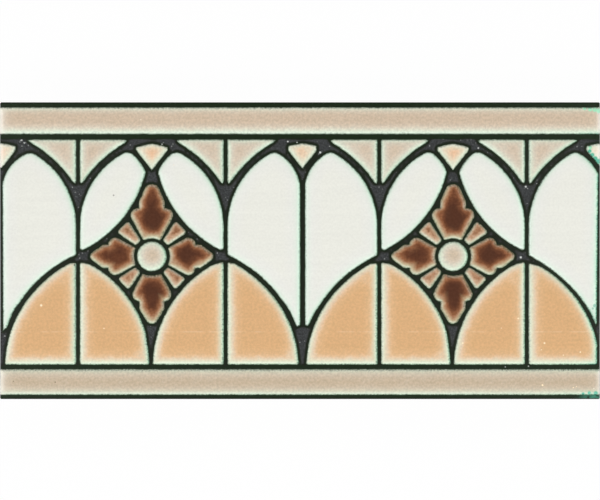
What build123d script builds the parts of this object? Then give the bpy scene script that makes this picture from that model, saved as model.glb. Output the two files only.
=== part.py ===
"""Glazed border tile: an interlaced arcade in dry-line relief between two plain bands."""

import math
import os
from collections import namedtuple

from build123d import *

# Body of the tile, in millimetres. X runs along the border, Y across it, Z up from the back.
tile_length = 152.4
tile_width = 75.4
body_height = 8.9
plan_corner_radius = 0.4
top_arris = 0.2
bed_arris = 0.3

# Keying grooves pressed into the back.
groove_count = 5
groove_pitch = 12.5
groove_width = 4.0
groove_depth = 1.0
groove_end_margin = 9.0

# Pools of glaze that stand above the dry lines.
glaze_rise = 0.6
glaze_slope_run = 0.35
glaze_foot = 0.02
cell_corner_radius = 0.5
lunette_corner_cut = 0.35
light_corner_radius = 0.75
crown_radius = 2.4

# Plain bands along both long edges.
edge_line_top = 1.37
edge_line_bottom = 0.99
band_width = 6.68
band_line_top = 1.4
band_line_bottom = 1.0
end_setback = 0.3

# The arcade: bays with a mullion on each side of their centre line.
bay_pitch = 76.51
bay_shift = 0.61
mullion_from_bay = 18.74
line_width = 0.9

# Arches that spring from the mullions, their centres past the far side of the light.
arch_reach = 21.65
arch_centre_drop = 22.04
shoulder_radius = 10.87
shoulder_drop = 13.1

# Spandrels over the arches, cut by a flatter arc.
spandrel_reach = 28.33
spandrel_centre_drop = 29.12
spandrel_radius = 32.62

# Lunettes that stand on the bottom line, one on each mullion.
lunette_centre_back = 11.47
lunette_sink = 0.65
lunette_foot_line = 0.16
lunette_line = 0.95
lunette_height = 26.09

# Leaves between the arches and the rosette.
leaf_sweep_radius = 29.93
leaf_sweep_back = 11.87
leaf_sweep_drop = 1.27
leaf_shoulder_gap = 0.35

# Fans where the arches cross, in the bays and midway between them.
fan_half_angle = 38.0
bay_fan_tip_drop = 7.92
bay_fan_reach = 5.19
middle_fan_tip_drop = 7.52
middle_fan_reach = 4.64

# The cells at both ends of the tile differ a little from those between the bays.
left_light_gain = 0.31
left_shoulder_radius = 10.34
end_light_foot_radius = 0.4
right_light_loss = 0.9
right_lunette_loss = 0.88
right_fan_shift = 0.76

# Rosette in the middle of each bay.
rosette_drop = 29.71
eye_radius = 3.79
petal_half_angle = 28.5
lobe_radius = 1.83

# The rosette's petals: how each is turned, and its sizes along and across.
Petal = namedtuple("Petal", "turn root lobe_x neck_x tip_x neck_half tip_radius")
up_petal = Petal(90, 4.49, lobe_x=10.43, neck_x=13.87, tip_x=18.36, neck_half=3.29, tip_radius=2.1)
down_petal = Petal(270, 4.89, lobe_x=9.63, neck_x=13.37, tip_x=17.16, neck_half=3.19, tip_radius=1.6)
right_petal = Petal(0, 4.54, lobe_x=9.28, neck_x=12.47, tip_x=15.66, neck_half=3.0, tip_radius=1.25)
left_petal = right_petal._replace(turn=180)

# Wedges between the petals, turned up or down from the level.
upper_wedge_turn = 45.3
upper_wedge_reach = 10.77
lower_wedge_turn = 44.1
lower_wedge_reach = 10.28
wedge_root = 4.79
wedge_half_angle = 11.3
wedge_corner_radius = 0.7

# Places worked out from the sizes above. The outline's middle is the origin in X and Y.
half_length = tile_length / 2
half_width = tile_width / 2
band_top = half_width - edge_line_top
band_bottom = edge_line_bottom - half_width
field_top = band_top - band_width - band_line_top
field_bottom = band_bottom + band_width + band_line_bottom
field_end = half_length - end_setback
half_line = line_width / 2
mid_from_mullion = bay_pitch / 2 - mullion_from_bay
mid_side = mid_from_mullion - half_line
arch_y = field_top - arch_centre_drop
arch_radius = arch_reach - half_line
shoulder_y = field_top - shoulder_drop
lunette_y = field_bottom - lunette_sink
lunette_radius = mullion_from_bay + lunette_centre_back - lunette_foot_line
rosette_y = field_top - rosette_drop

# The light, lunette and fan on one side of a bay. Sides are measured from the mullion.
Side = namedtuple("Side", "light_side shoulder_x shoulder_radius foot_radius lunette_side fan_shift")
inner_side = Side(light_side=mid_side, shoulder_x=mid_side - shoulder_radius,
                  shoulder_radius=shoulder_radius, foot_radius=light_corner_radius,
                  lunette_side=mullion_from_bay, fan_shift=0.0)
left_end = inner_side._replace(light_side=mid_side + left_light_gain,
                               shoulder_x=mid_side + left_light_gain - left_shoulder_radius,
                               shoulder_radius=left_shoulder_radius,
                               foot_radius=end_light_foot_radius)
right_end = inner_side._replace(light_side=mid_side - right_light_loss,
                                foot_radius=end_light_foot_radius,
                                lunette_side=mullion_from_bay - right_lunette_loss,
                                fan_shift=right_fan_shift)


def disc(x, y, radius):
    """Full circle about a point."""
    return Pos(x, y) * Circle(radius)


def block(x_low, x_high, y_low, y_high):
    """Rectangle between two X and two Y values."""
    middle = Pos((x_low + x_high) / 2, (y_low + y_high) / 2)
    return middle * Rectangle(x_high - x_low, y_high - y_low)


def rounded(cell, radius=cell_corner_radius):
    """The same cell with every corner rounded."""
    return fillet(cell.vertices(), radius)


def cut_cornered(cell):
    """The same cell with every corner cut off at a slant."""
    return chamfer(cell.vertices(), lunette_corner_cut)


def crowned(cell, foot_radius=light_corner_radius):
    """The same light with its topmost corner rounded wide and the others less."""
    crown = fillet(cell.vertices().sort_by(Axis.Y)[-1], crown_radius)
    return fillet(crown.vertices().sort_by(Axis.Y)[:-2], foot_radius)


def sector(inner, outer, half_angle):
    """Ring sector about the origin that opens along +X."""
    reach = 2 * outer
    angle = math.radians(half_angle)
    side = (reach * math.cos(angle), reach * math.sin(angle))
    wedge = make_face(Polyline((0, 0), side, (side[0], -side[1]), close=True))
    return (Circle(outer) - Circle(inner)) & wedge


def spandrel():
    """Corner above an arch, measured from the mullion."""
    centre_y = field_top - spandrel_centre_drop
    corner = block(half_line, spandrel_reach, centre_y, field_top)
    return corner - disc(spandrel_reach, centre_y, spandrel_radius)


def lunette(side):
    """Half of a lunette, measured from the mullion."""
    arc = disc(-lunette_centre_back, lunette_y, lunette_radius)
    return arc & block(half_line, side, field_bottom, field_bottom + lunette_height)


def tall_light(side):
    """White light between a mullion and the line midway between two bays."""
    arch = disc(arch_reach, arch_y, arch_radius) + block(half_line, arch_reach, field_bottom, arch_y)
    shoulder = disc(side.shoulder_x, shoulder_y, side.shoulder_radius)
    shoulder += block(half_line, side.light_side, field_bottom, shoulder_y)
    light = arch & shoulder & block(half_line, side.light_side, field_bottom, field_top)
    light -= disc(-lunette_centre_back, lunette_y, lunette_radius + lunette_line)
    return crowned(light, side.foot_radius)


def leaf():
    """White leaf beside the rosette, measured from the bay's centre line."""
    centre_x = mullion_from_bay - arch_reach
    arch = disc(centre_x, arch_y, arch_radius)
    arch += block(centre_x, centre_x + arch_radius, field_bottom, arch_y)
    sweep_x = mullion_from_bay + leaf_sweep_back
    sweep = disc(sweep_x, field_top - leaf_sweep_drop, leaf_sweep_radius)
    shoulder_x = half_line + leaf_shoulder_gap + shoulder_radius
    shoulder_top = field_top - shoulder_drop + line_width
    shoulder = disc(shoulder_x, shoulder_top, shoulder_radius)
    shoulder += block(half_line, mullion_from_bay, field_bottom, shoulder_top)
    return arch & sweep & shoulder


def fan(to_mullion, tip_drop, reach):
    """Fan on a line where the arches of two mullions cross."""
    offset = to_mullion - arch_reach
    tip_y = field_top - tip_drop
    half_spread = reach * math.tan(math.radians(fan_half_angle))
    corners = [(0, tip_y), (half_spread, tip_y + reach), (half_spread, field_top)]
    mirrored = [(-x, y) for x, y in reversed(corners[1:])]
    wedge = make_face(Polyline(*corners, *mirrored, close=True))
    return wedge & disc(offset, arch_y, arch_radius) & disc(-offset, arch_y, arch_radius)


def petal(sizes):
    """Lobed petal about the rosette's middle."""
    angle = math.radians(petal_half_angle)
    lobe_x = sizes.lobe_x
    lobe_y = (lobe_x * math.sin(angle) - lobe_radius) / math.cos(angle)
    side_x = lobe_x - lobe_radius * math.sin(angle)
    base = sector(sizes.root, 2 * lobe_x, petal_half_angle) & block(0, side_x, -lobe_x, lobe_x)
    shape = fillet(base.vertices().sort_by(Axis.X)[:2], cell_corner_radius)
    shape += block(side_x, lobe_x, -lobe_y, lobe_y)
    shape += block(lobe_x, sizes.neck_x, -sizes.neck_half, sizes.neck_half)
    for side in (-1, 1):
        shape += disc(lobe_x, side * lobe_y, lobe_radius)
    neck_end = Line((sizes.neck_x, -sizes.neck_half), (sizes.neck_x, sizes.neck_half))
    tip = disc(sizes.tip_x - sizes.tip_radius, 0, sizes.tip_radius)
    return Rot(0, 0, sizes.turn) * (shape + make_hull([neck_end, *tip.edges()]))


def wedge(turn, reach):
    """Wedge between two petals."""
    cell = rounded(sector(wedge_root, reach, wedge_half_angle), wedge_corner_radius)
    return Rot(0, 0, turn) * cell


def rosette():
    """Eye, petals and wedges about the origin."""
    cells = [Circle(eye_radius)]
    cells += [petal(sizes) for sizes in (up_petal, down_petal, right_petal, left_petal)]
    for turn in (upper_wedge_turn, 180 - upper_wedge_turn):
        cells.append(wedge(turn, upper_wedge_reach))
    for turn in (-lower_wedge_turn, 180 + lower_wedge_turn):
        cells.append(wedge(turn, lower_wedge_reach))
    return cells


def half_bay(side):
    """Cells to the right of a bay's centre line."""
    mullion = Pos(mullion_from_bay, 0)
    corner = rounded(spandrel())
    cells = [crowned(leaf()), mullion * corner, mullion * mirror(corner, about=Plane.YZ)]
    cells.append(mullion * cut_cornered(lunette(side.lunette_side)))
    cells.append(mullion * mirror(cut_cornered(lunette(mullion_from_bay)), about=Plane.YZ))
    cells.append(mullion * tall_light(side))
    return cells


def bay_cells(left, right):
    """Every cell of one bay and the fan on the line at its right end."""
    cells = half_bay(right) + [mirror(cell, about=Plane.YZ) for cell in half_bay(left)]
    cells.append(rounded(fan(mullion_from_bay, bay_fan_tip_drop, bay_fan_reach)))
    middle_fan = rounded(fan(mid_from_mullion, middle_fan_tip_drop, middle_fan_reach))
    cells.append(Pos(bay_pitch / 2 - right.fan_shift, 0) * middle_fan)
    return cells + [Pos(0, rosette_y) * cell for cell in rosette()]


def bands():
    """Plain glazed bands along both long edges."""
    top = block(-field_end, field_end, band_top - band_width, band_top)
    bottom = block(-field_end, field_end, band_bottom, band_bottom + band_width)
    return [top, bottom]


def body():
    """Fired body with eased edges and keying grooves across its back."""
    outline = fillet(Rectangle(tile_length, tile_width).vertices(), plan_corner_radius)
    slab = extrude(outline, body_height)
    slab = chamfer(slab.faces().sort_by(Axis.Z)[-1].edges(), top_arris)
    slab = chamfer(slab.faces().sort_by(Axis.Z)[0].edges(), bed_arris)
    groove_length = tile_length - 2 * groove_end_margin
    groove = extrude(SlotOverall(groove_length, groove_width), groove_depth)
    first_y = -groove_pitch * (groove_count - 1) / 2
    for number in range(groove_count):
        slab -= Pos(0, first_y + number * groove_pitch, 0) * groove
    return slab


def pool(cell):
    """Raised pool of glaze over one cell, with sloping sides and its foot in the body."""
    foot = body_height / 2
    solid = extrude(Pos(0, 0, body_height - foot) * cell, foot + glaze_rise, dir=(0, 0, 1))
    top = solid.faces().sort_by(Axis.Z)[-1]
    return chamfer(top.edges(), glaze_slope_run, glaze_rise + glaze_foot, reference=top)


def arcade():
    """Pools of all the bays, cut off at the ends of the tile."""
    bay_count = math.ceil(tile_length / bay_pitch) + 2
    first_x = bay_shift - bay_pitch * (bay_count - 1) / 2
    field = Box(2 * field_end, tile_width, 2 * (body_height + glaze_rise))
    pools = []
    for number in range(bay_count):
        place = Pos(first_x + number * bay_pitch, 0, 0)
        left = left_end if number == 1 else inner_side
        right = right_end if number == bay_count - 2 else inner_side
        for cell in bay_cells(left, right):
            box = (place * cell).bounding_box()
            if box.min.X > field_end or box.max.X < -field_end:
                continue
            pools.append((place * pool(cell)) & field)
    return pools


def border_tile():
    """The whole tile as one fired piece."""
    pools = arcade() + [pool(band) for band in bands()]
    return body().fuse(*pools)


os.makedirs("parts", exist_ok=True)
export_step(border_tile(), "parts/border_tile.step")
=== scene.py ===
"""Looks of the border tile: fired body, dry-line ground and pools of coloured glaze."""

from collections import namedtuple

import bpy
import numpy as np
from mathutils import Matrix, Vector, kdtree, noise
from mathutils.geometry import delaunay_2d_cdt


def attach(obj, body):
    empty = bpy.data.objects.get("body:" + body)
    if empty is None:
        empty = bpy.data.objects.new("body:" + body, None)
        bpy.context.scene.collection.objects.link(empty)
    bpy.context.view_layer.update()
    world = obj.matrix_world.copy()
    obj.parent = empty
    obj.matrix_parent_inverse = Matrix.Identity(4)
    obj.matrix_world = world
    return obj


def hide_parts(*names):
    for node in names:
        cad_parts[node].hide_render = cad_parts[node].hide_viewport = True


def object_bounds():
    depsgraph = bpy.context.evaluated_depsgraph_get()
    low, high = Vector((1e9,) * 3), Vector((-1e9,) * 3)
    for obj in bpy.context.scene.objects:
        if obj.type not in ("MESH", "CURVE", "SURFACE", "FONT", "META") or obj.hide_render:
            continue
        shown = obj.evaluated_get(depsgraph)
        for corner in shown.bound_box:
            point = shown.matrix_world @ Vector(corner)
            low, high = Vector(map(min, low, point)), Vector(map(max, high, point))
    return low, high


MM = 0.001
NODE = "border_tile"

# The photograph's frame and where the tile lies in it, in pixels.
PHOTO_WIDTH = 600
PHOTO_HEIGHT = 500
TILE_LEFT = 0.0
TILE_RIGHT = 600.0
TILE_TOP = 102.37
TILE_BOTTOM = 398.96
TILE_CENTRE = ((TILE_LEFT + TILE_RIGHT) / 2, (TILE_TOP + TILE_BOTTOM) / 2)
LENS_MM = 120
SENSOR_MM = 36

# Spacing of the points on the glazed face, in millimetres.
OUTLINE_STEP = 0.3
LEAST_POINTS = 12
RING_OFFSETS = (0.08, 0.18, 0.3, 0.45, 0.65, 0.9, 1.25, 1.7, 2.3, 3.1)
COARSE_STEP = 1.0
COARSE_SCATTER = 0.12
GROUND_RINGS = (0.08, 0.18, 0.32, 0.5)
GROUND_STEP = 0.6
GROUND_CLEARANCE = 0.2
GROUND_MARGIN = 0.05
CELL_MARGIN = 0.01

# Spacing of rings and rows as shares of their own offset and step.
RING_SPACING = 1.2
RING_CLEARANCE = 0.94
ROW_SPACING = 0.866

# How close places have to lie to count as level, in metres, and as joined, in millimetres.
LEVEL_TOLERANCE = 1e-6
JOIN_TOLERANCE = 1e-7

# Relief of the glaze and the ground, in millimetres.
MENISCUS_LENGTH = 0.5
POOL_LIP = 0.05
SWELL_SHARE = 0.04
SWELL_PITCH = 9.0
GRAIN_HEIGHT = 0.03
GRAIN_PITCH = 0.5

# The ground beside the pools, the bands and the lower edge of the face, in millimetres.
GLAZED_EDGE = 0.2
DRY_SPAN = 0.4
BAND_TOUCH = 0.05
LOWER_RIM = 1.6
LOWER_RIM_SPAN = 0.6

# The dark glaze over the body's upper edge, in millimetres: unevenness, start and end.
ARRIS_UNEVEN = 0.9
ARRIS_START = 0.45
ARRIS_END = 0.2

# Unevenness of the hand-drawn lines, in millimetres: height and pitch of two waves.
SLOW_WOBBLE = (0.05, 3.0)
QUICK_WOBBLE = (0.065, 0.6)

# The broad line between the two middle lights, in millimetres.
MIDDLE_LINE = 0.6
MIDDLE_REACH = 0.9
MIDDLE_FOOT = -20
MIDDLE_TOP = 17.5
MIDDLE_TAPER = 1.5
MIDDLE_EXTRA = (0.2, 0.08)

# How the rim of a pool is coloured, in millimetres and shares.
TINT_REACH = 0.5
RIM_REACH = 0.35
RIM_SHARES = (0.25, 0.9, 0.7, 1.0)
LAPPED_EDGE = 0.1
GREENER_FROM = 60
GREENER_SPAN = 15
GREENER_SHARE = 0.5
SMOOTH_ROUNDS = 1

# How the glaze runs out over an end of the tile, and the painted highlight that pales it there, in
# millimetres.
END_OVERHANG = 0.16
END_BAND = 0.15
HIGHLIGHT_START = 0.2
HIGHLIGHT_LEFT = 0.9
HIGHLIGHT_RIGHT = 0.45
HIGHLIGHT_OF_FAN = 1.4
FAN_ROWS = (18, 28)

# Sizes that tell the kinds of cell apart, in millimetres and square millimetres.
BAND_LENGTH = 100
EYE_WIDTHS = (7, 8.4)
EYE_ROUNDNESS = 0.4
EYE_REACH = 0.5
WEDGE_REACH = 9
WEDGE_AREA = 30
PETAL_REACH = 14
PETAL_AREA = 120
LUNETTE_MIDDLE = -5
LIGHT_AREA = 150
SPANDREL_AREA = 50
LIGHT_HEIGHT = 20
ROSETTE_TOP = 20
ROSETTE_FOOT = -25

# Corners that are drawn out to points: least turn for a length, then reach in millimetres.
TIGHT_CURVE = 1.3
TURN_LIMITS = (0.7, 2.9)
LONGEST_POINT = 3
POINT_REACH = 1.0
SHORT_REACH = 0.55
LONG_TIPS = (-69.4, -6.0, 70.5)
TIP_REACH = 1.8
TIP_HEIGHT = 25

# Where the lines over the lunettes sag: from and to along the tile, then how far the lunette
# and the light above it lie lower, in millimetres.
SAGS = [
    (-73.4, -56.8, 0.4, 0.1),
    (-18.4, 0.0, 0.44, 0.24),
    (1.6, 20.4, 0.48, 0.36),
    (57.8, 76.0, 0.42, 0.66),
    (-75.4, -71.0, 0.0, -0.6),
    (-43.4, -38.4, 0.0, -0.5),
    (-4.2, 0.2, 0.0, -0.6),
    (1.0, 4.6, 0.0, -0.65),
]
SAG_FULLNESS = 0.6
FOOT_OF_LUNETTES = -27.0
TOP_OF_LUNETTES = -1.0

# How the lunettes lie in the photograph: lift of the foot, narrow feet and slanted tops. A top is
# slope and drop, for a lunette left of its mullion, one right of it and the last one.
LUNETTE_LIFT = 0.05
NARROW_FEET = (-37.7, 38.7)
FOOT_NARROWING = 0.45
FOOT_START = -20
FOOT_TAPER = 5
FOOT_REACH = 4
FOOT_BLEND = 2
LEFT_TOP = (0.28, -0.2)
RIGHT_TOP = (0.16, 0.0)
LAST_TOP = (0.2, 0.3)
LAST_LUNETTE = 56
TOP_BAND = 0.3
TOP_EDGE = 0.05

# How the lights at the two ends of the tile lie in the photograph, in millimetres.
END_REACH = 1
LEFT_FOOT = -20.6
LEFT_FOOT_SLOPE = 0.8
LEFT_WIDENING = (0.18, 0.14)
WIDENING_START = 10
WIDENING_SPAN = 25
RIGHT_LEAN = 0.4
LEAN_START = 18
LEAN_SPAN = 31
LEAN_BAND = 0.6

# How much fuller the upper and lower band lie than their drawn lines, in millimetres.
UPPER_GROWTH = 0.09
LOWER_GROWTH = -0.05

# The faint scratch in the lunettes: height and edge in millimetres, and strength.
SCRATCH = -20.6
SCRATCH_EDGE = (0.05, 0.2)
SCRATCH_STRENGTH = 0.22

# Where the teal stain begins and is full along the tile, in millimetres.
STAIN_START = 69
STAIN_END = 76

# Where a spot is full and where it ends, as shares of its radius.
SPOT_EDGE = (0.6, 1.3)

# Studio: floor, world and soft boxes as name, place and size in metres, and power in watts.
FLOOR_SIZE = 4.0
FLOOR_SHADE = 0.85
FLOOR_GLOW = 0.97
WORLD_STRENGTH = 0.08
SOFTBOXES = [
    ("near_box", (0, -0.55, 0.5), (0.9, 0.5), 4.37),
    ("far_box", (0, 0.6, 0.5), (0.9, 0.4), 2.51),
    ("left_box", (-0.65, 0, 0.5), (0.4, 0.8), 2.19),
    ("right_box", (0.65, 0, 0.5), (0.4, 0.8), 2.19),
]


def srgb(red, green, blue):
    """Linear colour with alpha from eight-bit display values."""
    channels = []
    for value in (red, green, blue):
        share = value / 255
        low = share / 12.92
        high = ((share + 0.055) / 1.055) ** 2.4
        channels.append(low if share <= 0.04045 else high)
    return (*channels, 1.0)


RIM_GREEN = srgb(18, 37, 12)
LINE_DARK = srgb(22, 28, 16)
ARRIS_DARK = srgb(12, 18, 9)
# Mint of the glaze at its rims, also used as a painted highlight on their lower and right sides.
MINT = srgb(168, 236, 196)
TEAL = srgb(96, 190, 160)
# Painted highlight on the glaze at the tile's ends.
END_HIGHLIGHT = srgb(252, 248, 236)
SPECK_PALE = srgb(244, 234, 216)
GRAIN_PALE = srgb(198, 202, 198)
FLECK = srgb(255, 238, 205)
PINHOLE_DARK = srgb(120, 104, 84)

# One glaze in one kind of cell. The shift is that of the deep core, up and a little to the right,
# which paints shade on the upper side and a painted highlight on the lower rim. The lap is the
# reach of the pale rim and the mint its strength, on the upper, lower, left and right sides; the
# smaller lap on the upper side, which widens the dark rim there, is painted shade, and the stronger
# mint on the lower and right sides is partly a painted highlight and partly the glaze's own mint.
# Stops are colours by depth in millimetres.
Glaze = namedtuple("Glaze", "piece slot shift lap mint mottle stops")

GLAZES = {
    "band": Glaze(
        piece="sand_band_upper", slot="sand_glaze", shift=(0.0, 0.45),
        lap=(0.5, 0.77, 0.8, 0.8), mint=(0.3, 0.42, 0.3, 0.3), mottle=0.12,
        stops=[
            (-0.5, srgb(230, 238, 222)), (0.3, srgb(228, 230, 212)), (0.9, srgb(225, 217, 198)),
            (1.5, srgb(219, 204, 184)), (2.2, srgb(212, 192, 169)), (3.2, srgb(210, 188, 163))]),
    "lower_band": Glaze(
        piece="sand_band_lower", slot="sand_glaze", shift=(0.0, 0.05),
        lap=(0.46, 0.82, 0.8, 0.8), mint=(0.18, 0.45, 0.3, 0.3), mottle=0.12,
        stops=[
            (-0.5, srgb(212, 224, 206)), (0.3, srgb(214, 213, 193)), (0.8, srgb(214, 206, 185)),
            (1.5, srgb(211, 196, 175)), (2.3, srgb(203, 185, 161)), (3.0, srgb(199, 179, 153))]),
    "spandrel": Glaze(
        piece="sand_spandrels", slot="sand_glaze", shift=(0.1, 0.35),
        lap=(0.58, 0.88, 0.6, 0.54), mint=(0.32, 0.42, 0.4, 0.75), mottle=0.1,
        stops=[
            (-0.5, srgb(228, 236, 220)), (0.5, srgb(226, 226, 208)), (1.2, srgb(221, 210, 192)),
            (2.0, srgb(216, 198, 177)), (2.8, srgb(211, 192, 168)), (4.0, srgb(209, 190, 166))]),
    "fan": Glaze(
        piece="peach_fans", slot="peach_glaze", shift=(0.0, 0.25),
        lap=(0.48, 0.77, 0.8, 0.82), mint=(0.14, 0.42, 0.28, 0.3), mottle=0.1,
        stops=[
            (-0.5, srgb(232, 238, 220)), (0.6, srgb(233, 229, 208)), (1.2, srgb(236, 217, 190)),
            (1.8, srgb(237, 202, 168)), (2.4, srgb(235, 189, 151)), (3.0, srgb(235, 183, 143))]),
    "white": Glaze(
        piece="ivory_lights", slot="ivory_glaze", shift=(0.0, 0.3),
        lap=(0.76, 0.73, 0.78, 0.67), mint=(0.41, 0.36, 0.38, 0.85), mottle=0.035,
        stops=[
            (-0.5, srgb(235, 242, 232)), (0.4, srgb(233, 239, 229)), (1.2, srgb(237, 239, 231)),
            (2.2, srgb(237, 237, 230)), (3.4, srgb(237, 237, 229)), (4.5, srgb(237, 237, 228))]),
    "peach": Glaze(
        piece="peach_lunettes", slot="peach_glaze", shift=(0.2, 0.3),
        lap=(0.66, 0.7, 0.7, 0.43), mint=(0.17, 0.62, 0.34, 1.0), mottle=0.085,
        stops=[
            (-0.5, srgb(231, 236, 216)), (0.5, srgb(232, 226, 202)), (1.2, srgb(232, 210, 182)),
            (1.8, srgb(231, 196, 157)), (2.5, srgb(225, 183, 137)), (4.0, srgb(221, 177, 129))]),
    "petal": Glaze(
        piece="umber_petals", slot="brown_glaze", shift=(0.17, 0.35),
        lap=(0.22, 0.8, 0.55, 0.28), mint=(0.05, 0.42, 0.1, 0.12), mottle=0.13,
        stops=[
            (-0.5, srgb(214, 214, 188)), (0.35, srgb(198, 179, 147)), (0.9, srgb(180, 137, 104)),
            (1.35, srgb(148, 94, 63)), (1.85, srgb(107, 64, 43)), (2.4, srgb(86, 52, 37))]),
    "wedge": Glaze(
        piece="umber_wedges", slot="brown_glaze", shift=(0.1, 0.3),
        lap=(0.42, 0.82, 0.68, 0.45), mint=(0.1, 0.4, 0.3, 0.45), mottle=0.15,
        stops=[
            (-0.5, srgb(222, 220, 198)), (0.3, srgb(214, 196, 172)), (0.68, srgb(204, 166, 138)),
            (1.0, srgb(186, 138, 106)), (1.25, srgb(158, 106, 75)), (1.6, srgb(120, 74, 50))]),
    "eye": Glaze(
        piece="sand_eyes", slot="sand_glaze", shift=(0.1, 0.35),
        lap=(0.46, 0.76, 0.68, 0.47), mint=(0.34, 0.45, 0.39, 1.0), mottle=0.11,
        stops=[
            (-0.5, srgb(228, 235, 218)), (0.6, srgb(225, 228, 209)), (1.3, srgb(222, 215, 197)),
            (2.0, srgb(219, 204, 184)), (2.7, srgb(212, 194, 171)), (3.5, srgb(207, 187, 162))]),
}
RAMP_SPAN = (-0.5, 4.5)

# Flecks, dots and teal patches in each kind of cell: place in the photograph in pixels, radius in
# millimetres, colour.
SPOTS = {
    "peach": [
        ((41.5, 305.3), 0.3, FLECK), ((104.2, 328.3), 0.16, FLECK), ((462.5, 343.0), 0.22, FLECK),
        ((544.2, 343.0), 0.24, FLECK), ((541.0, 349.7), 0.14, FLECK), ((580.0, 352.0), 0.2, FLECK),
        ((563.0, 355.0), 0.14, FLECK), ((518.0, 318.3), 0.2, FLECK), ((592.0, 326.0), 0.2, FLECK),
        ((501.0, 328.0), 0.12, FLECK), ((74.6, 265.0), 0.22, srgb(58, 72, 50))],
    "white": [
        ((113.8, 195.4), 0.2, srgb(150, 146, 138)), ((594.6, 305.6), 0.5, srgb(150, 204, 180)),
        ((592.6, 308.4), 0.3, srgb(168, 212, 192)), ((288.4, 227.3), 0.2, srgb(246, 244, 238))],
    "lower_band": [
        ((542.2, 385.0), 0.26, FLECK), ((573.0, 387.5), 0.16, FLECK), ((576.0, 386.4), 0.12, FLECK),
        ((55.5, 382.0), 0.15, PINHOLE_DARK), ((13.6, 381.0), 0.14, PINHOLE_DARK),
        ((583.0, 393.6), 0.4, TEAL), ((589.0, 392.8), 0.45, TEAL), ((595.5, 393.0), 0.55, TEAL)],
    "band": [
        ((590.0, 109.4), 0.55, MINT), ((594.5, 109.8), 0.6, MINT), ((598.5, 110.8), 0.65, MINT),
        ((584.5, 108.8), 0.4, MINT)],
    "fan": [
        ((589.4, 151.2), 0.5, TEAL), ((592.0, 155.0), 0.55, TEAL), ((595.0, 158.8), 0.65, TEAL),
        ((598.6, 161.4), 0.7, TEAL), ((590.0, 147.4), 0.45, MINT)],
}

# Pale grains in the dry line: place in the photograph in pixels and radius in millimetres.
GRAINS = [
    ((320.2, 152.5), 0.26), ((520.8, 257.3), 0.28), ((525.8, 186.7), 0.24), ((478.3, 148.0), 0.2),
    ((21.7, 140.2), 0.2), ((287.8, 141.5), 0.2), ((24.5, 143.0), 0.16), ((505.3, 366.9), 0.14),
    ((297.0, 142.4), 0.14), ((528.5, 366.2), 0.16), ((89.5, 140.8), 0.16), ((162.0, 144.2), 0.16),
]


def smooth_noise(x, y, pitch, seed):
    """Smooth noise from -1 to 1 with features about one pitch wide, in millimetres."""
    return noise.noise(Vector((x / pitch, y / pitch, seed)))


def hand_wobble(x, y, seed):
    """Unevenness of a hand-drawn line, in millimetres."""
    slow_height, slow_pitch = SLOW_WOBBLE
    quick_height, quick_pitch = QUICK_WOBBLE
    slow = smooth_noise(x, y, slow_pitch, seed)
    quick = smooth_noise(x, y, quick_pitch, seed + 50)
    return slow_height * slow + quick_height * quick


def broad_middle(points, normals):
    """Extra half width of the line between the two middle lights, in millimetres."""
    near = np.exp(-((points[:, 0] - MIDDLE_LINE) / MIDDLE_REACH) ** 4) * (points[:, 1] > MIDDLE_FOOT)
    near = near * np.clip((MIDDLE_TOP - points[:, 1]) / MIDDLE_TAPER, 0, 1)
    return near * np.where(normals[:, 0] > 0, *MIDDLE_EXTRA) * np.abs(normals[:, 0])


class Outline:
    """Closed outline in millimetres, counter-clockwise, evenly sampled and slightly uneven."""

    def __init__(self, corners, wobble, seed):
        ring = np.vstack([corners, corners[:1]])
        steps = np.hypot(*np.diff(ring, axis=0).T)
        reach = np.concatenate([[0], np.cumsum(steps)])
        count = max(LEAST_POINTS, int(reach[-1] / OUTLINE_STEP))
        places = np.arange(count) * reach[-1] / count
        x = np.interp(places, reach, ring[:, 0])
        y = np.interp(places, reach, ring[:, 1])
        self.points = np.column_stack([x, y])
        normals = self.inward()
        shifts = np.array([hand_wobble(px, py, seed) * wobble for px, py in self.points])
        self.move(shifts + wobble * broad_middle(self.points, normals), normals)

    def inward(self):
        """Unit normals that point into the outline."""
        along = np.roll(self.points, -1, axis=0) - np.roll(self.points, 1, axis=0)
        along /= np.hypot(*along.T)[:, None]
        return np.column_stack([-along[:, 1], along[:, 0]])

    def move(self, shifts, normals):
        """Moves the points inwards by their shifts, and keeps them between the tile's ends."""
        self.points = self.points + normals * shifts[:, None]
        self.points[:, 0] = np.clip(self.points[:, 0], -half_length, half_length)
        self.normals = self.inward()
        self.low = self.points.min(axis=0)
        self.high = self.points.max(axis=0)
        self.middle = (self.low + self.high) / 2

    def grow(self, growth):
        """Moves the outline outwards by so many millimetres."""
        self.move(np.full(len(self.points), -growth), self.normals)

    def contains(self, places):
        """Which of the places lie inside, by crossing count."""
        start = self.points
        end = np.roll(self.points, -1, axis=0)
        x = places[:, 0:1]
        y = places[:, 1:2]
        spans = (start[:, 1] > y) != (end[:, 1] > y)
        rise = end[:, 1] - start[:, 1]
        rise = np.where(rise == 0, 1e-12, rise)
        cross_x = start[:, 0] + (y - start[:, 1]) * (end[:, 0] - start[:, 0]) / rise
        return (spans & (x < cross_x)).sum(axis=1) % 2 == 1


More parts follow.
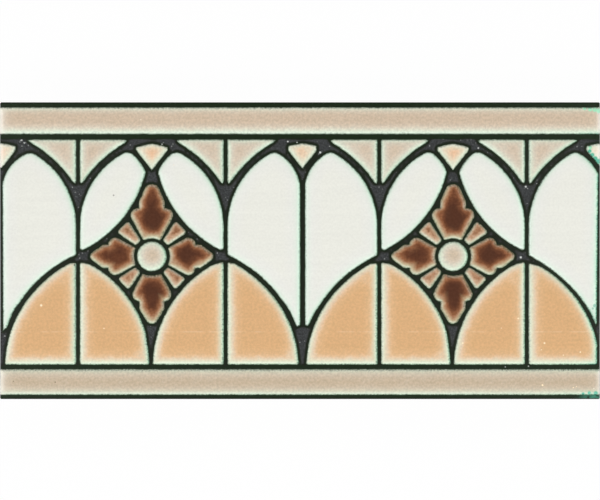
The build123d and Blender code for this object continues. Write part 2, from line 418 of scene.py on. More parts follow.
class Borders:
    """Finds the distance from a place to the nearest of some outlines, up to a limit in X."""

    def __init__(self, outlines, limit=1000.0):
        start = np.vstack([o.points for o in outlines])
        kept = np.abs(start[:, 0]) < limit
        self.start = start[kept]
        self.end = np.vstack([np.roll(o.points, -1, axis=0) for o in outlines])[kept]
        self.before = np.vstack([np.roll(o.points, 1, axis=0) for o in outlines])[kept]
        self.normal = np.vstack([o.normals for o in outlines])[kept]
        self.tree = kdtree.KDTree(len(self.start))
        for index, (x, y) in enumerate(self.start):
            self.tree.insert((x, y, 0), index)
        self.tree.balance()

    def nearest(self, places):
        """Distance to the nearest outline and the inward normal there, for each place."""
        found = np.array([self.tree.find((x, y, 0))[1] for x, y in places])
        here = self.start[found]
        ahead = segment_distance(places, here, self.end[found])
        behind = segment_distance(places, self.before[found], here)
        return np.minimum(ahead, behind), self.normal[found]


def segment_distance(places, start, end):
    """Distance from each place to its own straight segment."""
    along = end - start
    share = ((places - start) * along).sum(axis=1) / (along**2).sum(axis=1)
    foot = start + along * np.clip(share, 0, 1)[:, None]
    return np.hypot(*(places - foot).T)


def flat_outlines(mesh, level):
    """Corner lists, in millimetres, round the flat faces at one height; outer one first."""
    edges = {}
    for polygon in mesh.polygons:
        corners = [mesh.vertices[i].co for i in polygon.vertices]
        if max(abs(c.z - level) for c in corners) > LEVEL_TOLERANCE:
            continue
        keys = [(round(c.x / MM, 3), round(c.y / MM, 3)) for c in corners]
        for first, second in zip(keys, keys[1:] + keys[:1]):
            if (second, first) in edges:
                del edges[(second, first)]
            else:
                edges[(first, second)] = True
    following = {first: second for first, second in edges}
    outlines = []
    while following:
        first, second = following.popitem()
        outline = [first]
        while second != first:
            outline.append(second)
            second = following.pop(second)
        outlines.append(np.array(outline))
    outlines.sort(key=lambda outline: -np.ptp(outline[:, 0]) * np.ptp(outline[:, 1]))
    return outlines


def area_of(corners):
    """Signed area of a closed outline."""
    x, y = corners[:, 0], corners[:, 1]
    return 0.5 * float((x * np.roll(y, -1) - np.roll(x, -1) * y).sum())


def counter_clockwise(corners):
    """The corners in counter-clockwise order."""
    return corners if area_of(corners) > 0 else corners[::-1]


def sharpened(corners):
    """The outline with its tightly rounded corners drawn out to points."""
    ahead = np.roll(corners, -1, axis=0) - corners
    length = np.hypot(*ahead.T)
    heading = np.arctan2(ahead[:, 1], ahead[:, 0])
    turn = (heading - np.roll(heading, 1) + np.pi) % (2 * np.pi) - np.pi
    shorter = np.minimum(length, np.roll(length, 1))
    tight = turn / shorter > TIGHT_CURVE
    if tight.all() or not tight.any():
        return corners
    first = int(np.nonzero(~tight)[0][0])
    order = (np.arange(len(corners)) + first) % len(corners)
    places = []
    run = []
    for index in order:
        if tight[index]:
            run.append(index)
            continue
        places += drawn_out(corners, run, turn, ahead)
        run = []
        places.append(corners[index])
    places += drawn_out(corners, run, turn, ahead)
    return np.array(places)


def drawn_out(corners, run, turn, ahead):
    """One rounded corner with the point where its two sides would meet."""
    kept = [corners[i] for i in run]
    least, most = TURN_LIMITS
    if len(run) < 2 or not least < turn[run].sum() < most:
        return kept
    start, end = corners[run[0]], corners[run[-1]]
    into = ahead[run[0] - 1]
    away = ahead[run[-1]]
    across = into[0] * away[1] - into[1] * away[0]
    gap = end - start
    share = (gap[0] * away[1] - gap[1] * away[0]) / across
    point = start + into * share
    middle = (start + end) / 2
    reach = np.hypot(*(point - middle))
    if share < 0 or reach > LONGEST_POINT:
        return kept
    long_tip = min(abs(point[0] - x) for x in LONG_TIPS) < TIP_REACH and point[1] > TIP_HEIGHT
    limit = POINT_REACH if long_tip else SHORT_REACH
    point = middle + (point - middle) * min(1, limit / reach)
    return [start, point, end]


def sag(corners, is_lunette):
    """Lowers the part of an outline that runs along a line over a lunette."""
    x, y = corners.T
    for start, end, lunette_sag, light_sag in SAGS:
        share = np.clip((x - start) / (end - start), 0, 1)
        fall = np.sin(np.pi * share) ** SAG_FULLNESS * (lunette_sag if is_lunette else light_sag)
        corners[:, 1] = y - fall * (y > FOOT_OF_LUNETTES) * (y < TOP_OF_LUNETTES)


def reshape_lunette(corners, low, high):
    """Lifts and narrows the foot of a lunette and slants its top beside the mullion."""
    x, y = corners.T
    corners[:, 1] = np.maximum(y, low[1] + LUNETTE_LIFT)
    low_down = np.clip((FOOT_START - y) / FOOT_TAPER, 0, 1)
    for place in NARROW_FEET:
        beside = np.clip((x - place + FOOT_REACH) / FOOT_BLEND, 0, 1) * (x < place)
        corners[:, 0] = x - FOOT_NARROWING * beside * low_down
    left_one = corners[y > high[1] - TOP_BAND, 0].mean() > (low[0] + high[0]) / 2
    mullion = high[0] if left_one else low[0]
    slope, drop = LEFT_TOP if left_one else RIGHT_TOP
    if low[0] > LAST_LUNETTE:
        slope, drop = LAST_TOP
    line = high[1] - drop - slope * np.abs(x - mullion)
    corners[:, 1] = np.where(y > high[1] - TOP_EDGE, line, np.minimum(y, line))


def reshape_light(corners, low, high):
    """Cuts the foot of the first light and moves it in, and leans the last light in."""
    x, y = corners.T
    if low[0] < END_REACH - face_high[0]:
        corners[:, 1] = np.maximum(y, LEFT_FOOT + LEFT_FOOT_SLOPE * (x - low[0]))
        least, more = LEFT_WIDENING
        widening = least + more * np.clip((WIDENING_START - y) / WIDENING_SPAN, 0, 1)
        corners[:, 0] = np.maximum(x, low[0] + widening)
    if high[0] > face_high[0] - END_REACH:
        lean = np.clip((LEAN_START - y) / LEAN_SPAN, 0, 1) * RIGHT_LEAN
        corners[:, 0] = np.where(x > high[0] - LEAN_BAND, x - lean, x)


def reshaped(corners):
    """Outline of one cell as the glaze lies in the photograph."""
    low = corners.min(axis=0)
    high = corners.max(axis=0)
    of_rosette = high[1] < ROSETTE_TOP and low[1] > ROSETTE_FOOT
    if high[0] - low[0] > BAND_LENGTH or of_rosette:
        return corners
    corners = sharpened(corners)
    is_lunette = high[1] < 0
    sag(corners, is_lunette)
    if is_lunette:
        reshape_lunette(corners, low, high)
    elif high[1] - low[1] > LIGHT_HEIGHT:
        reshape_light(corners, low, high)
    return corners


def run_out(corners):
    """An outline that meets the end of the face, run out over the end's arris."""
    far = np.abs(corners[:, 0]) > face_high[0] - END_BAND
    corners[far, 0] = np.sign(corners[far, 0]) * (face_high[0] + END_OVERHANG)
    return corners


def make_outlines(corner_lists):
    """Outlines of all the cells, with the two bands a little fuller or leaner."""
    outlines = []
    for number, corners in enumerate(corner_lists):
        outline = Outline(run_out(reshaped(counter_clockwise(corners))), 1.0, number)
        if outline.high[0] - outline.low[0] > BAND_LENGTH:
            outline.grow(UPPER_GROWTH if outline.middle[1] > 0 else LOWER_GROWTH)
        outlines.append(outline)
    return outlines


def ring_places(outline, offsets, borders, inside=True):
    """Places in rings beside an outline, kept where the outline is the nearest one."""
    places = []
    direction = 1 if inside else -1
    for offset in offsets:
        skip = max(1, int(offset * RING_SPACING / OUTLINE_STEP))
        spread = outline.points[::skip] + direction * offset * outline.normals[::skip]
        distance, _ = borders.nearest(spread)
        places.append(spread[distance > RING_CLEARANCE * offset])
    return np.vstack(places)


def coarse_places(low, high, step, seed):
    """Loosely even places over a rectangle."""
    draw = np.random.default_rng(seed)
    columns = np.arange(low[0], high[0], step)
    rows = np.arange(low[1], high[1], step * ROW_SPACING)
    x, y = np.meshgrid(columns, rows)
    x[1::2] += step / 2
    places = np.column_stack([x.ravel(), y.ravel()])
    return places + draw.uniform(-COARSE_SCATTER, COARSE_SCATTER, places.shape) * step


def triangulate(outline_loops, free_places, keep_inside):
    """Points and triangles between outlines; keep_inside takes what the outlines enclose."""
    points = np.vstack(outline_loops + [free_places])
    loops = []
    first = 0
    for loop in outline_loops:
        loops.append(list(range(first, first + len(loop))))
        first += len(loop)
    mode = 1 if keep_inside else 0
    made = delaunay_2d_cdt([Vector(p) for p in points], [], loops, mode, JOIN_TOLERANCE)
    vertices, _, faces, _, _, origins = made
    if not keep_inside:
        faces = [face for face, origin in zip(faces, origins) if not origin]
    return np.array([tuple(v) for v in vertices]), faces


def smoothed(values, faces, rounds):
    """Values per point with the creases along the middle of a cell smoothed away."""
    corners = np.array([face[:3] for face in faces])
    first = np.concatenate([corners[:, 0], corners[:, 1], corners[:, 2]])
    second = np.concatenate([corners[:, 1], corners[:, 2], corners[:, 0]])
    count = np.bincount(first, minlength=len(values)) + np.bincount(second, minlength=len(values))
    for _ in range(rounds):
        total = np.bincount(first, values[second], len(values))
        total += np.bincount(second, values[first], len(values))
        values = 0.5 * values + 0.5 * total / np.maximum(count, 1)
    return values


def mesh_piece(name, points, heights, faces, attributes):
    """Smooth mesh object from plan points and heights in millimetres, with values per point."""
    mesh = bpy.data.meshes.new(name)
    corners = np.column_stack([points, heights]) * MM
    mesh.from_pydata(corners.tolist(), [], faces)
    for key, values in attributes.items():
        layer = mesh.attributes.new(key, "FLOAT", "POINT")
        layer.data.foreach_set("value", np.asarray(values, dtype=np.float32))
    mesh.shade_smooth()
    piece = bpy.data.objects.new(name, mesh)
    bpy.context.collection.objects.link(piece)
    return piece


def by_side(normal, sides):
    """Blend of the values for the upper, lower, left and right sides by the inward normal."""
    top, bottom, left, right = sides
    across = np.where(normal[:, 0] > 0, left, right) * normal[:, 0] ** 2
    return across + np.where(normal[:, 1] > 0, bottom, top) * normal[:, 1] ** 2


def painted_end_highlight(points):
    """Share of painted highlight that pales the glaze where it runs out over an end of the tile."""
    from_end = face_high[0] + HIGHLIGHT_START - np.abs(points[:, 0])
    reach = np.where(points[:, 0] > 0, HIGHLIGHT_RIGHT, HIGHLIGHT_LEFT)
    fan = (points[:, 0] > 0) & (points[:, 1] > FAN_ROWS[0]) & (points[:, 1] < FAN_ROWS[1])
    reach = np.where(fan, HIGHLIGHT_OF_FAN, reach)
    return np.exp(-np.maximum(from_end, 0) / reach)


def pool_surface(outline, glaze):
    """Points, heights, faces and attributes of one pool of glaze."""
    seed = seed_of(outline)
    borders = Borders([outline])
    rings = ring_places(outline, RING_OFFSETS, borders)
    rings = rings[outline.contains(rings)]
    coarse = coarse_places(outline.low, outline.high, COARSE_STEP, seed)
    distance, _ = borders.nearest(coarse)
    coarse = coarse[outline.contains(coarse) & (distance > RING_OFFSETS[-1] + COARSE_STEP / 2)]
    points, faces = triangulate([outline.points], np.vstack([rings, coarse]), True)
    edge, _ = borders.nearest(points)
    swell = np.array([smooth_noise(x, y, SWELL_PITCH, seed) for x, y in points])
    swell = 1 - SWELL_SHARE + SWELL_SHARE * swell
    filled = 1 - np.exp(-edge / MENISCUS_LENGTH)
    rise = tile_top - ground_level - POOL_LIP
    heights = ground_level + POOL_LIP + rise * filled * swell
    return points, heights, faces, pool_values(outline, points, faces, glaze)


def pool_values(outline, points, faces, glaze):
    """What the glaze's colour at each point is worked out from."""
    runs_out = np.abs(outline.points[:, 0]).max() > face_high[0]
    borders = Borders([outline], face_high[0]) if runs_out else Borders([outline])
    edge, normal = borders.nearest(points)
    # Painted shade: the deep core moves up and to one side, so the upper side darkens sooner and the
    # lower rim stays pale as a painted highlight.
    moved = points - np.array(glaze.shift)
    depth, _ = borders.nearest(moved)
    if np.ptp(outline.points[:, 0]) > BAND_LENGTH:
        inside = (moved[:, 1] > outline.low[1]) & (moved[:, 1] < outline.high[1])
    else:
        inside = outline.contains(moved)
    depth = smoothed(np.where(inside, depth, -depth), faces, SMOOTH_ROUNDS)
    far_right = np.clip((points[:, 0] - GREENER_FROM) / GREENER_SPAN, 0, 1)
    greener = 1 + GREENER_SHARE * far_right
    # Mint at the rim: partly the glaze's own mint, partly a painted highlight that is stronger on
    # the lower and right sides.
    mint_and_highlight_share = np.exp(-edge / TINT_REACH) * by_side(normal, glaze.mint) * greener
    return {
        # The dark rim reaches further on the upper side: painted shade.
        "lapped": LAPPED_EDGE + (edge - LAPPED_EDGE) * by_side(normal, glaze.lap),
        "depth": depth,
        "mint_and_highlight_share": np.clip(mint_and_highlight_share, 0, 1),
        "end_highlight": painted_end_highlight(points) if runs_out else np.zeros(len(points)),
        "rim": np.exp(-edge / RIM_REACH) * by_side(normal, RIM_SHARES),
    }


def joined_pools(outlines, glaze, material):
    """One piece made of all the pools of one glaze."""
    parts = []
    first = 0
    faces = []
    for outline in outlines:
        points, heights, local, values = pool_surface(outline, glaze)
        faces += [[first + i for i in face] for face in local]
        first += len(points)
        parts.append((points, heights, values))
    points = np.vstack([p[0] for p in parts])
    heights = np.concatenate([p[1] for p in parts])
    keys = parts[0][2]
    attributes = {key: np.concatenate([p[2][key] for p in parts]) for key in keys}
    piece = mesh_piece(glaze.piece, points, heights, faces, attributes)
    piece.data.materials.append(material)
    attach(piece, "root")


def seed_of(outline):
    """Whole number that stays with an outline's place on the tile."""
    return int(round(outline.middle[0] * 3 + outline.middle[1] * 7)) % 997


class Nodes:
    """Short way to build one node material."""

    def __init__(self, name):
        self.material = bpy.data.materials.new(name)
        self.material.use_nodes = True
        self.tree = self.material.node_tree
        self.tree.nodes.clear()
        self.coordinates = self.add("ShaderNodeNewGeometry").outputs["Position"]

    def add(self, kind, **settings):
        """New node with the given properties."""
        node = self.tree.nodes.new(kind)
        for key, value in settings.items():
            setattr(node, key, value)
        return node

    def link(self, source, target):
        """Links an output to an input, or sets the input to a plain value."""
        if isinstance(source, bpy.types.NodeSocket):
            self.tree.links.new(source, target)
        else:
            target.default_value = source

    def attribute(self, name):
        """Value of a mesh attribute."""
        return self.add("ShaderNodeAttribute", attribute_name=name).outputs["Fac"]

    def axis(self, letter):
        """Place along one axis, in metres."""
        place = self.add("ShaderNodeSeparateXYZ")
        self.link(self.coordinates, place.inputs[0])
        return place.outputs[letter]

    def noise(self, pitch_mm, detail=2.0, roughness=0.5, offset=0.0, stretch=(1, 1, 1)):
        """Noise value from 0 to 1 with features about one pitch wide."""
        place = self.add("ShaderNodeVectorMath", operation="MULTIPLY_ADD")
        self.link(self.coordinates, place.inputs[0])
        place.inputs[1].default_value = stretch
        place.inputs[2].default_value = (offset, offset, offset)
        texture = self.add("ShaderNodeTexNoise")
        self.link(place.outputs[0], texture.inputs["Vector"])
        texture.inputs["Scale"].default_value = 1 / (pitch_mm * MM)
        texture.inputs["Detail"].default_value = detail
        texture.inputs["Roughness"].default_value = roughness
        return texture.outputs["Fac"]

    def swing(self, pitch_mm, **settings):
        """Noise about zero, from -0.5 to 0.5."""
        return self.math("SUBTRACT", self.noise(pitch_mm, **settings), 0.5)

    def math(self, operation, first, second=0.0, third=0.0):
        """One math node."""
        node = self.add("ShaderNodeMath", operation=operation)
        for source, target in zip((first, second, third), node.inputs):
            self.link(source, target)
        return node.outputs[0]

    def band(self, value, low, high, to_low=0.0, to_high=1.0):
        """Smooth step of a value between two limits."""
        node = self.add("ShaderNodeMapRange", interpolation_type="SMOOTHSTEP")
        self.link(value, node.inputs["Value"])
        node.inputs["From Min"].default_value = low
        node.inputs["From Max"].default_value = high
        node.inputs["To Min"].default_value = to_low
        node.inputs["To Max"].default_value = to_high
        return node.outputs["Result"]

    def mix(self, share, first, second):
        """Mix of two colours."""
        node = self.add("ShaderNodeMix", data_type="RGBA")
        self.link(share, node.inputs[0])
        self.link(first, node.inputs[6])
        self.link(second, node.inputs[7])
        return node.outputs[2]

    def scaled(self, colour, share):
        """The colour made brighter or darker by a share."""
        node = self.add("ShaderNodeVectorMath", operation="SCALE")
        self.link(colour, node.inputs[0])
        self.link(share, node.inputs["Scale"])
        return node.outputs[0]

    def ramp(self, value, stops, span):
        """Colour ramp over a span of millimetres; stops are (millimetres, colour)."""
        start, end = span
        scaled = self.add("ShaderNodeMapRange")
        self.link(value, scaled.inputs["Value"])
        scaled.inputs["From Min"].default_value = start
        scaled.inputs["From Max"].default_value = end
        node = self.add("ShaderNodeValToRGB")
        elements = node.color_ramp.elements
        while len(elements) < len(stops):
            elements.new(0.5)
        for element, (place, colour) in zip(elements, stops):
            element.position = (place - start) / (end - start)
            element.color = colour
        self.link(scaled.outputs["Result"], node.inputs["Fac"])
        return node.outputs["Color"]

    def spot(self, colour, place, radius, spot_colour):
        """The colour with one round spot; place in pixels of the photograph."""
        x = (place[0] - TILE_CENTRE[0]) * pixel_mm
        y = (TILE_CENTRE[1] - place[1]) * pixel_mm
        plan = self.add("ShaderNodeVectorMath", operation="MULTIPLY")
        self.link(self.coordinates, plan.inputs[0])
        plan.inputs[1].default_value = (1, 1, 0)
        gap = self.add("ShaderNodeVectorMath", operation="DISTANCE")
        self.link(plan.outputs[0], gap.inputs[0])
        gap.inputs[1].default_value = (x * MM, y * MM, 0)
        inner, outer = SPOT_EDGE
        near = self.band(gap.outputs["Value"], radius * inner * MM, radius * outer * MM, 1.0, 0.0)
        return self.mix(near, colour, spot_colour)

    def scratch(self, height):
        """Faint broken line along the tile at one height in millimetres."""
        gap = self.math("ABSOLUTE", self.math("SUBTRACT", self.axis("Y"), height * MM))
        inner, outer = SCRATCH_EDGE
        near = self.band(gap, inner * MM, outer * MM, SCRATCH_STRENGTH, 0.0)
        broken = self.noise(2.6, detail=3.0, roughness=0.6, offset=1.9)
        return self.math("MULTIPLY", near, self.band(broken, 0.4, 0.6))

    def stain(self):
        """Teal that has bled into the rims at the right end."""
        along = self.band(self.axis("X"), STAIN_START * MM, STAIN_END * MM)
        patch = self.band(self.noise(1.6, offset=4.4), 0.36, 0.56)
        return self.math("MULTIPLY", self.math("MULTIPLY", along, patch), self.attribute("rim"))

    def cells(self, pitch_mm):
        """Distance to the middle of the nearest cell, as a share of one pitch."""
        texture = self.add("ShaderNodeTexVoronoi")
        self.link(self.coordinates, texture.inputs["Vector"])
        texture.inputs["Scale"].default_value = 1 / (pitch_mm * MM)
        return texture.outputs["Distance"]

    def specks(self, pitch_mm, near, far, low, high):
        """Round specks, one in each cell of a pitch, where a broad noise is high."""
        spot = self.band(self.cells(pitch_mm), near, far, 1.0, 0.0)
        chosen = self.noise(2.3 * pitch_mm, detail=1.0, offset=6.0)
        return self.math("MULTIPLY", spot, self.band(chosen, low, high))

    def finish(self, colour, roughness, bump, bump_mm, specular=0.5):
        """Closes the material with one Principled shader."""
        shader = self.add("ShaderNodeBsdfPrincipled")
        self.link(colour, shader.inputs["Base Color"])
        self.link(roughness, shader.inputs["Roughness"])
        shader.inputs["Specular IOR Level"].default_value = specular
        node = self.add("ShaderNodeBump")
        node.inputs["Distance"].default_value = bump_mm * MM
        self.link(bump, node.inputs["Height"])
        self.link(node.outputs["Normal"], shader.inputs["Normal"])
        output = self.add("ShaderNodeOutputMaterial")
        self.link(shader.outputs[0], output.inputs["Surface"])
        return self.material


def glaze_material(glaze, spots):
    """Translucent glaze: dark where it laps the line, pale at the rim and deeper in the pool, with
    painted shade on its upper sides and a painted highlight on its lower rims and at the tile's
    ends.
    """
    nodes = Nodes(glaze.piece)
    uneven = nodes.swing(0.6, detail=3.0, roughness=0.6)
    slow = nodes.swing(5.0, offset=3.1)
    # Colour by depth of glaze; the depth carries the painted shade of the shifted core.
    depth = nodes.math("MULTIPLY_ADD", uneven, 0.75, nodes.attribute("depth"))
    depth = nodes.math("MULTIPLY_ADD", slow, 0.6, depth)
    colour = nodes.ramp(depth, glaze.stops, RAMP_SPAN)
    grain = nodes.noise(0.6, roughness=0.6, offset=7.7)
    grain = nodes.band(grain, 0.2, 0.8, 1 - glaze.mottle, 1 + glaze.mottle)
    streak = nodes.noise(1.1, offset=2.6, stretch=(0.06, 1, 1))
    grain = nodes.math("MULTIPLY", grain, nodes.band(streak, 0.25, 0.75, 0.988, 1.012))
    colour = nodes.scaled(colour, grain)
    # Mint rim, partly the glaze's own mint and partly a painted highlight on the lower and right
    # sides.
    colour = nodes.mix(nodes.attribute("mint_and_highlight_share"), colour, MINT)
    pinhole = nodes.specks(3.4, 0.035, 0.06, 0.6, 0.66)
    colour = nodes.mix(pinhole, colour, SPECK_PALE)
    # Painted highlight that pales the glaze towards the ends of the tile.
    colour = nodes.mix(nodes.attribute("end_highlight"), colour, END_HIGHLIGHT)
    colour = nodes.mix(nodes.stain(), colour, TEAL)
    for place, radius, spot in spots:
        colour = nodes.spot(colour, place, radius, spot)
    if glaze.piece == "peach_lunettes":
        colour = nodes.mix(nodes.scratch(SCRATCH), colour, FLECK)
    ragged = nodes.swing(0.42, roughness=0.6, offset=1.3)
    edge = nodes.math("MULTIPLY_ADD", ragged, 0.5, nodes.attribute("lapped"))
    # Dark green rim where the glaze laps the line; its wider reach on the upper side is painted
    # shade.
    colour = nodes.mix(nodes.band(edge, -0.08, 0.36), RIM_GREEN, colour)
    roughness = nodes.band(nodes.noise(6.0, offset=5.0), 0.3, 0.7, 0.1, 0.16)
    ripple = nodes.noise(2.2, roughness=0.4, offset=9.0)
    return nodes.finish(colour, roughness, ripple, 0.012)


def ground_material():
    """Matte charcoal dry line, glossy green where glaze laps it, with a few pale grains."""
    nodes = Nodes("dry_line")
    rough_edge = nodes.swing(0.6, detail=3.0, roughness=0.6)
    edge = nodes.math("MULTIPLY_ADD", rough_edge, 0.5, nodes.attribute("edge"))
    grain = nodes.noise(0.28, detail=3.0, roughness=0.7, offset=2.0)
    charcoal = nodes.mix(nodes.band(grain, 0.35, 0.75), srgb(28, 29, 30), srgb(66, 70, 71))
    dry = nodes.band(edge, 0.5, 0.95)
    line = nodes.mix(nodes.band(edge, 0.1, 0.4), RIM_GREEN, LINE_DARK)
    colour = nodes.mix(dry, line, charcoal)
    speck = nodes.specks(0.75, 0.08, 0.19, 0.46, 0.53)
    colour = nodes.mix(nodes.math("MULTIPLY", speck, dry), colour, GRAIN_PALE)
    for place, radius in GRAINS:
        colour = nodes.spot(colour, place, radius, GRAIN_PALE)
    colour = nodes.mix(nodes.math("MULTIPLY", nodes.stain(), 0.5), colour, TEAL)
    roughness = nodes.math("MULTIPLY_ADD", dry, 0.5, 0.28)
    return nodes.finish(colour, roughness, grain, 0.05)


def body_material():
    """Fired buff body, open-grained, with iron specks, and dark where glaze laps its upper edge."""
    nodes = Nodes("fired_body")
    broad = nodes.noise(14.0, detail=4.0, roughness=0.6)
    colour = nodes.mix(nodes.band(broad, 0.3, 0.7), srgb(206, 190, 164), srgb(188, 168, 140))
    fine = nodes.noise(0.7, detail=5.0, roughness=0.7, offset=4.0)
    colour = nodes.mix(nodes.band(fine, 0.55, 0.75, 0.0, 0.5), colour, srgb(160, 138, 112))
    iron = nodes.band(nodes.cells(2.1), 0.05, 0.12, 0.8, 0.0)
    colour = nodes.mix(iron, colour, srgb(110, 78, 56))
    uneven = nodes.noise(1.6, detail=3.0, roughness=0.6, offset=8.0)
    height = nodes.math("MULTIPLY_ADD", uneven, ARRIS_UNEVEN * MM, nodes.axis("Z"))
    level = ground_level * MM
    lapped = nodes.band(height, level - ARRIS_START * MM, level - ARRIS_END * MM)
    colour = nodes.mix(lapped, colour, ARRIS_DARK)
    roughness = nodes.math("MULTIPLY_ADD", lapped, -0.07, 0.82)
    return nodes.finish(colour, roughness, fine, 0.12, specular=0.05)


def ground_places(outer, cells, borders):
    """Free places on the ground between the cells."""
    rings = [ring_places(cell, GROUND_RINGS, borders, inside=False) for cell in cells]
    coarse = coarse_places(outer.low, outer.high, GROUND_STEP, 5)
    distance, _ = borders.nearest(coarse)
    coarse = coarse[distance > GROUND_RINGS[-1] + GROUND_CLEARANCE]
    free = np.vstack(rings + [coarse])
    inside = np.zeros(len(free), dtype=bool)
    for cell in cells:
        close = (free > cell.low - CELL_MARGIN) & (free < cell.high + CELL_MARGIN)
        index = np.nonzero(close.all(axis=1))[0]
        if len(index):
            inside[index] |= cell.contains(free[index])
    within = (free > outer.low + GROUND_MARGIN) & (free < outer.high - GROUND_MARGIN)
    return free[within.all(axis=1) & ~inside]


def make_ground(corners, cells):
    """Dry-line ground between the pools, over the whole face of the body."""
    outer = Outline(counter_clockwise(corners), 0.0, 1)
    borders = Borders(cells)
    free = ground_places(outer, cells, borders)
    loops = [cell.points for cell in cells]
    points, faces = triangulate(loops, np.vstack([free, outer.points]), False)
    edge, _ = borders.nearest(points)
    field = [cell for cell in cells if cell.high[0] - cell.low[0] < BAND_LENGTH]
    field_low = min(cell.low[1] for cell in field)
    field_high = max(cell.high[1] for cell in field)
    along_edge = (points[:, 1] > field_high - BAND_TOUCH) | (points[:, 1] < field_low + BAND_TOUCH)
    edge = np.where(along_edge, np.minimum(edge, GLAZED_EDGE), edge)
    rough = np.array([smooth_noise(x, y, GRAIN_PITCH, 8) for x, y in points])
    dry = np.clip((edge - GLAZED_EDGE) / DRY_SPAN, 0, 1)
    heights = ground_level + GRAIN_HEIGHT * dry * rough
    rim = np.clip((-points[:, 1] - face_high[1] + LOWER_RIM) / LOWER_RIM_SPAN, 0, 1)
    piece = mesh_piece("dry_line_ground", points, heights, faces, {"edge": edge, "rim": rim})
    piece.data.materials.append(ground_material())
    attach(piece, "root")


def make_body(node):
    """Sides and back of the fired body, taken from the CAD faces below the glazed face."""
    source = node.data
    level = ground_level * MM
    faces = [list(p.vertices) for p in source.polygons
             if min(source.vertices[i].co.z for i in p.vertices) < level - LEVEL_TOLERANCE]
    used = sorted({i for face in faces for i in face})
    index = {old: new for new, old in enumerate(used)}
    points = np.array([source.vertices[i].co[:] for i in used]) / MM
    faces = [[index[i] for i in face] for face in faces]
    piece = mesh_piece("fired_body", points[:, :2], points[:, 2], faces, {})
    piece.data.shade_flat()
    piece.data.materials.append(body_material())
    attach(piece, "root")


def kind_of(cell, eyes):
    """Which glaze fills a cell, from its size and how far it lies from a rosette's eye."""
    area = abs(area_of(cell.points))
    reach = min(np.hypot(*(cell.middle - eye)) for eye in eyes)
    if cell.high[0] - cell.low[0] > BAND_LENGTH:
        return "band" if cell.middle[1] > 0 else "lower_band"
    if reach < EYE_REACH:
        return "eye"
    if reach < WEDGE_REACH and area < WEDGE_AREA:
        return "wedge"
    if reach < PETAL_REACH and area < PETAL_AREA:
        return "petal"
    if cell.middle[1] < LUNETTE_MIDDLE:
        return "peach"
    if area > LIGHT_AREA:
        return "white"
    return "spandrel" if area > SPANDREL_AREA else "fan"


def make_pools(cells):
    """All the pools of glaze, one piece for each glaze and kind of cell."""
    eyes = []
    for cell in cells:
        width, height = cell.high - cell.low
        if abs(width - height) < EYE_ROUNDNESS and EYE_WIDTHS[0] < width < EYE_WIDTHS[1]:
            eyes.append(cell.middle)
    kinds = [kind_of(cell, eyes) for cell in cells]
    for kind, glaze in GLAZES.items():
        outlines = [cell for cell, found in zip(cells, kinds) if found == kind]
        joined_pools(outlines, glaze, glaze_material(glaze, SPOTS.get(kind, [])))


def make_floor():
    """Plain pale floor that renders white to the camera and keeps a soft shadow."""
    bpy.ops.mesh.primitive_plane_add(size=FLOOR_SIZE, location=(0, 0, 0))
    floor = bpy.context.object
    floor.name = "floor"
    material = bpy.data.materials.new("floor")
    material.use_nodes = True
    tree = material.node_tree
    tree.nodes.clear()
    diffuse = tree.nodes.new("ShaderNodeBsdfDiffuse")
    diffuse.inputs["Color"].default_value = (FLOOR_SHADE, FLOOR_SHADE, FLOOR_SHADE, 1)
    glow = tree.nodes.new("ShaderNodeEmission")
    glow.inputs["Strength"].default_value = 1.0
    path = tree.nodes.new("ShaderNodeLightPath")
    seen = tree.nodes.new("ShaderNodeMath")
    seen.operation = "MAXIMUM"
    tree.links.new(path.outputs["Is Camera Ray"], seen.inputs[0])
    tree.links.new(path.outputs["Is Transmission Ray"], seen.inputs[1])
    share = tree.nodes.new("ShaderNodeMath")
    share.operation = "MULTIPLY"
    share.inputs[1].default_value = FLOOR_GLOW
    tree.links.new(seen.outputs[0], share.inputs[0])
    mix = tree.nodes.new("ShaderNodeMixShader")
    tree.links.new(share.outputs[0], mix.inputs[0])
    tree.links.new(diffuse.outputs[0], mix.inputs[1])
    tree.links.new(glow.outputs[0], mix.inputs[2])
    output = tree.nodes.new("ShaderNodeOutputMaterial")
    tree.links.new(mix.outputs[0], output.inputs["Surface"])
    floor.data.materials.append(material)


def make_world():
    """World that is white to the camera and lights the tile only faintly."""
    world = bpy.data.worlds.new("studio")
    bpy.context.scene.world = world
    world.use_nodes = True
    tree = world.node_tree
    tree.nodes.clear()
    path = tree.nodes.new("ShaderNodeLightPath")
    background = tree.nodes.new("ShaderNodeBackground")
    strength = tree.nodes.new("ShaderNodeMapRange")
    strength.inputs["To Min"].default_value = WORLD_STRENGTH
    strength.inputs["To Max"].default_value = 1.0
    tree.links.new(path.outputs["Is Camera Ray"], strength.inputs["Value"])
    tree.links.new(strength.outputs["Result"], background.inputs["Strength"])
    output = tree.nodes.new("ShaderNodeOutputWorld")
    tree.links.new(background.outputs[0], output.inputs["Surface"])


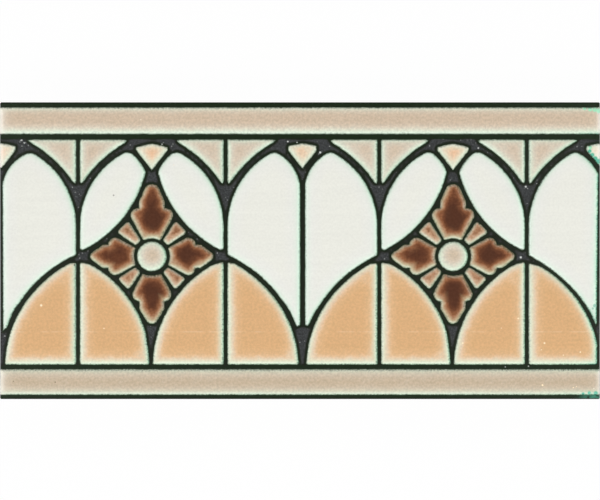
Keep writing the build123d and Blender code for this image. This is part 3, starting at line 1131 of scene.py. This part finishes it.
def add_softbox(name, place, size, power):
    """Rectangular area light aimed at the middle of the tile."""
    data = bpy.data.lights.new(name, "AREA")
    data.shape = "RECTANGLE"
    data.size, data.size_y = size
    data.energy = power
    lamp = bpy.data.objects.new(name, data)
    lamp.location = place
    toward_tile = Vector((0, 0, 0)) - Vector(place)
    lamp.rotation_euler = toward_tile.to_track_quat("-Z", "Y").to_euler()
    bpy.context.collection.objects.link(lamp)


def make_camera(low, high):
    """Long lens straight down, framed as in the photograph."""
    pixel = (high[0] - low[0]) / (TILE_RIGHT - TILE_LEFT)
    middle_x = PHOTO_WIDTH / 2 - TILE_CENTRE[0]
    middle_y = TILE_CENTRE[1] - PHOTO_HEIGHT / 2
    data = bpy.data.cameras.new("camera")
    data.lens = LENS_MM
    data.sensor_width = SENSOR_MM
    distance = PHOTO_WIDTH * pixel * LENS_MM / SENSOR_MM
    camera = bpy.data.objects.new("camera", data)
    camera.location = (middle_x * pixel, middle_y * pixel, ground_level * MM + distance)
    bpy.context.collection.objects.link(camera)
    bpy.context.scene.camera = camera


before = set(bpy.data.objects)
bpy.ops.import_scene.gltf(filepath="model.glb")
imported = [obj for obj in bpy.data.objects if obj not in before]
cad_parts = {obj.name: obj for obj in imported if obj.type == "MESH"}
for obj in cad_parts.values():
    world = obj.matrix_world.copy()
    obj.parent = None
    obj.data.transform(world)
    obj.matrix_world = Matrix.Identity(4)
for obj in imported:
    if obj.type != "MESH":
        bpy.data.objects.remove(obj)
cad_low, cad_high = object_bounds()
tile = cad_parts[NODE]

# Measures of the CAD part, in millimetres.
half_length = cad_high[0] / MM
tile_top = cad_high[2] / MM
pixel_mm = (cad_high[0] - cad_low[0]) / MM / (TILE_RIGHT - TILE_LEFT)
flat_levels = {round(p.center.z / MM, 3) for p in tile.data.polygons if p.normal.z > 0.999}
ground_level = max(flat_levels - {round(tile_top, 3)})
face, *cell_corners = flat_outlines(tile.data, ground_level * MM)
face_high = np.abs(face).max(axis=0)

cells = make_outlines(cell_corners)
make_body(tile)
make_ground(face, cells)
make_pools(cells)
for name in ("fired_body", "dry_line_ground", *(glaze.piece for glaze in GLAZES.values())):
    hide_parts(NODE)

make_floor()
make_world()
for name, place, size, power in SOFTBOXES:
    add_softbox(name, place, size, power)
make_camera(cad_low, cad_high)

settings = bpy.context.scene.view_settings
settings.view_transform = "Standard"
